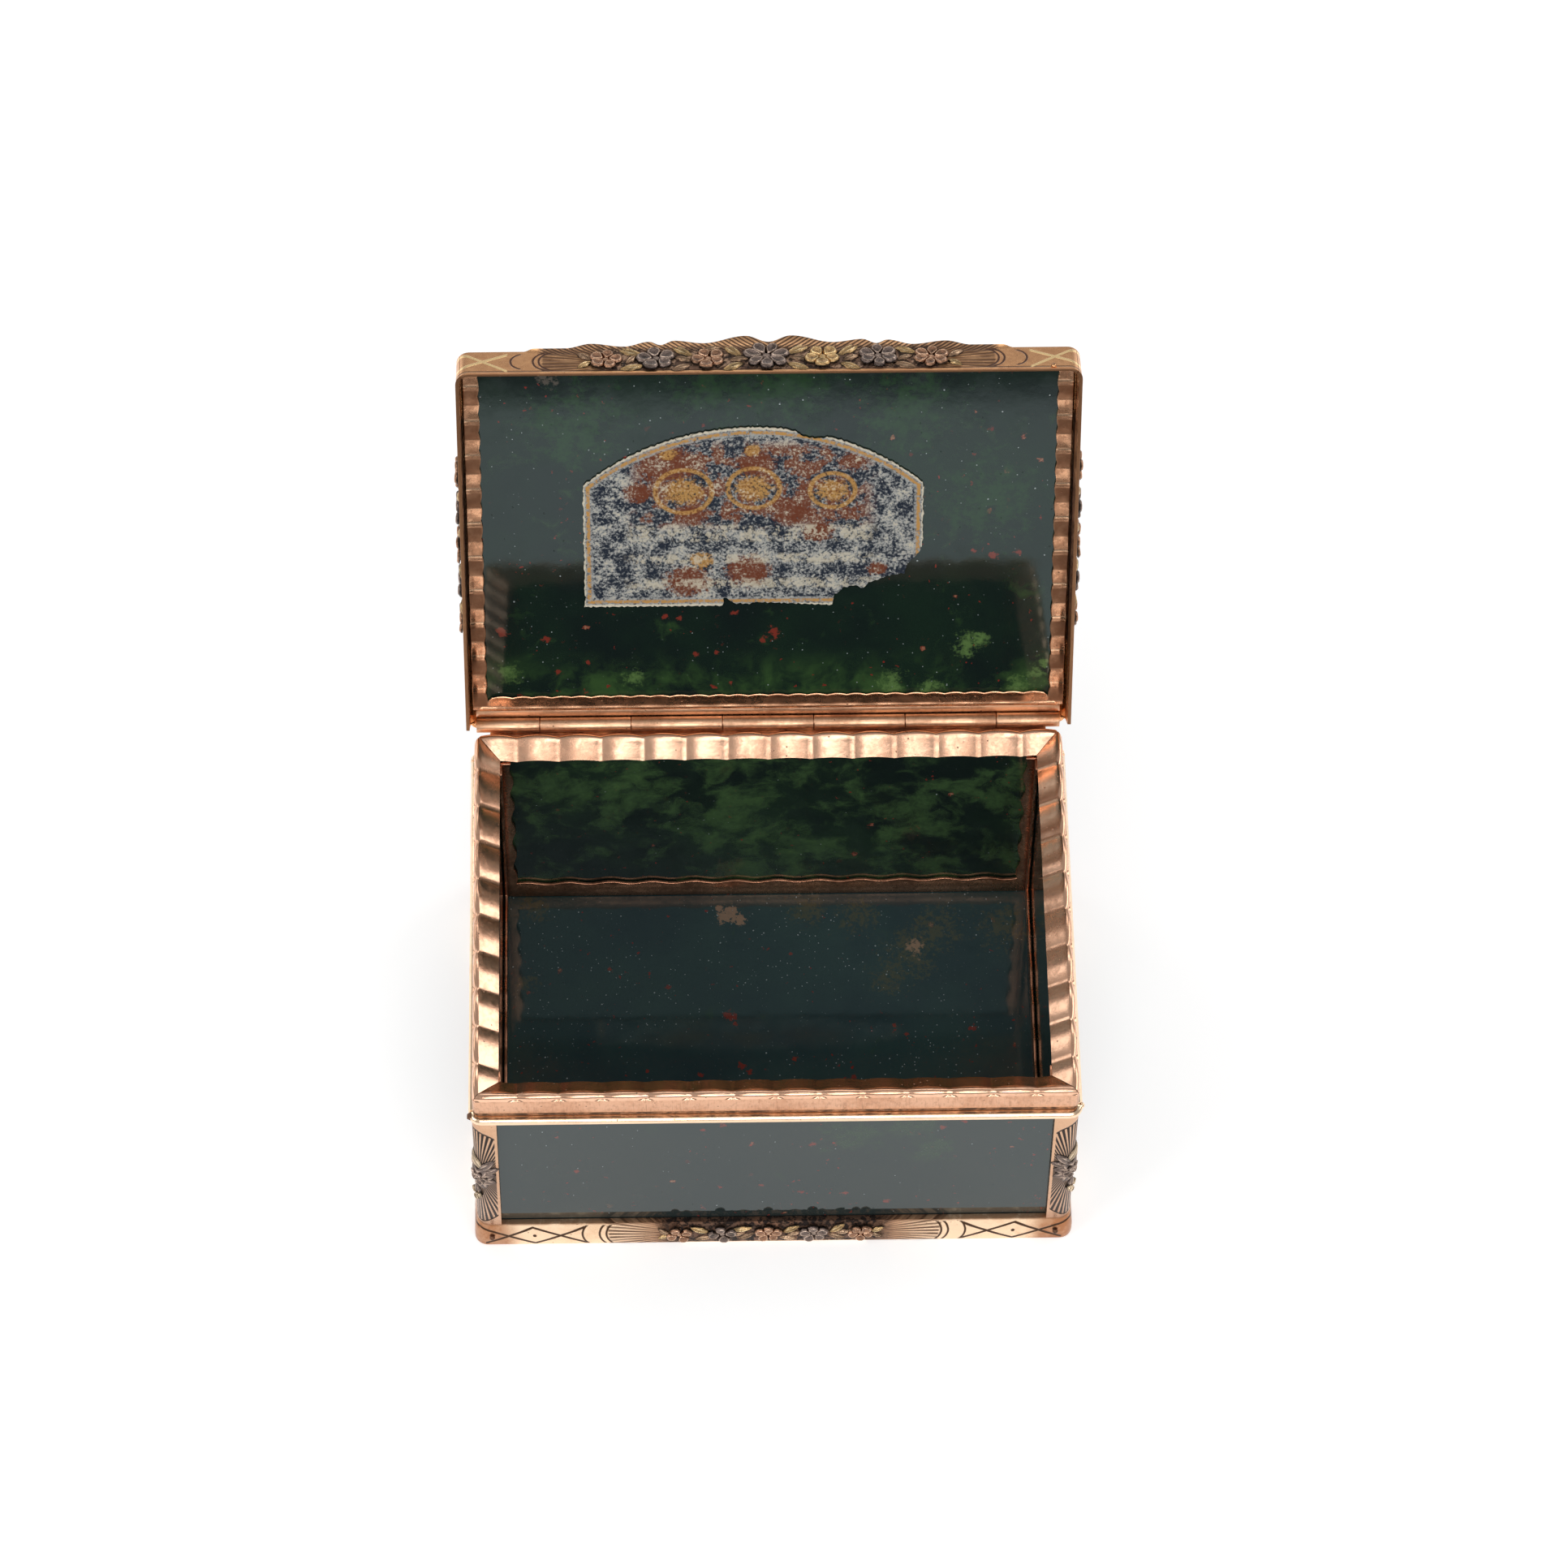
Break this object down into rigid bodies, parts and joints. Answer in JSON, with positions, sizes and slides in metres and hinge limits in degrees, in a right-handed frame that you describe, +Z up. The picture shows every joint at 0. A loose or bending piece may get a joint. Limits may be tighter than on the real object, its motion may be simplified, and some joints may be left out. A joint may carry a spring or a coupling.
{
  "type": "snuff box",
  "caption": "Hinged snuff box of polished green bloodstone panels in an engraved gold cage, its lid standing open, with a fluted mouth and a worn paper label inside the lid.",
  "frame": {"origin": "centre of the underside, on the floor panel's flush outer face", "axes": "+X to the right along the hinge, +Y to the back, where the hinge is, +Z up"},
  "size_m": [0.0768, 0.0777, 0.089],
  "materials": {
    "wall_bloodstone": "polished",
    "floor_bloodstone": "polished",
    "lid_bloodstone": "polished",
    "wall_retainer_gold": "tarnished",
    "lid_retainer_gold": "worn satin",
    "mouth_gold": "polished, fluted",
    "band_gold": "lightly brushed",
    "ledge_gold": "polished",
    "pilaster_gold": "chased, oxidised in the recesses",
    "base_gold": "engraved, oxidised in the recesses",
    "lid_gold": "engraved, oxidised in the recesses",
    "hinge_gold": "worn",
    "relief_gold": "chased and oxidised",
    "label_paper": "worn"
  },
  "bodies": {
    "case": {"back_stone": "wall_bloodstone", "base_mount": "base_gold", "base_spray_back": "relief_gold", "base_spray_front": "relief_gold", "base_spray_left": "relief_gold", "base_spray_right": "relief_gold", "base_stone": "floor_bloodstone", "bezel_band": "band_gold", "case_hinge_rail": "hinge_gold", "case_knuckle_1": "hinge_gold", "case_knuckle_2": "hinge_gold", "case_knuckle_3": "hinge_gold", "corner_pilaster_back_left": "pilaster_gold", "corner_pilaster_back_right": "pilaster_gold", "corner_pilaster_front_left": "pilaster_gold", "corner_pilaster_front_right": "pilaster_gold", "corner_pin_back_left": "relief_gold", "corner_pin_back_right": "relief_gold", "corner_pin_front_left": "relief_gold", "corner_pin_front_right": "relief_gold", "front_stone": "wall_bloodstone", "hinge_pin": "hinge_gold", "ledge_back": "ledge_gold", "ledge_front": "ledge_gold", "ledge_left": "ledge_gold", "ledge_right": "ledge_gold", "left_stone": "wall_bloodstone", "mouth_flange_back": "mouth_gold", "mouth_flange_front": "mouth_gold", "mouth_flange_left": "mouth_gold", "mouth_flange_right": "mouth_gold", "pilaster_flower_back_left": "relief_gold", "pilaster_flower_back_right": "relief_gold", "pilaster_flower_front_left": "relief_gold", "pilaster_flower_front_right": "relief_gold", "right_stone": "wall_bloodstone", "wall_retainer_back": "wall_retainer_gold", "wall_retainer_front": "wall_retainer_gold", "wall_retainer_left": "wall_retainer_gold", "wall_retainer_right": "wall_retainer_gold"},
    "lid": {"lid_stone": "lid_bloodstone", "lid_mount_front": "lid_gold", "lid_mount_back": "lid_gold", "lid_mount_left": "lid_gold", "lid_mount_right": "lid_gold", "lid_retainer_front": "lid_retainer_gold", "lid_retainer_back": "lid_retainer_gold", "lid_retainer_left": "lid_retainer_gold", "lid_retainer_right": "lid_retainer_gold", "lid_hinge_leaf": "hinge_gold", "lid_knuckle_1": "hinge_gold", "lid_knuckle_2": "hinge_gold", "lid_knuckle_3": "hinge_gold", "lid_knuckle_4": "hinge_gold", "lid_spray_front": "relief_gold", "lid_spray_left": "relief_gold", "lid_spray_right": "relief_gold", "paper_label": "label_paper"}
  },
  "joints": [
    {"name": "lid_hinge", "type": "hinge", "parent": "case", "child": "lid", "pos_m": [0, 0.02773, 0.03575], "axis": [1, 0, 0], "range_deg": [0, 111]}
  ]
}
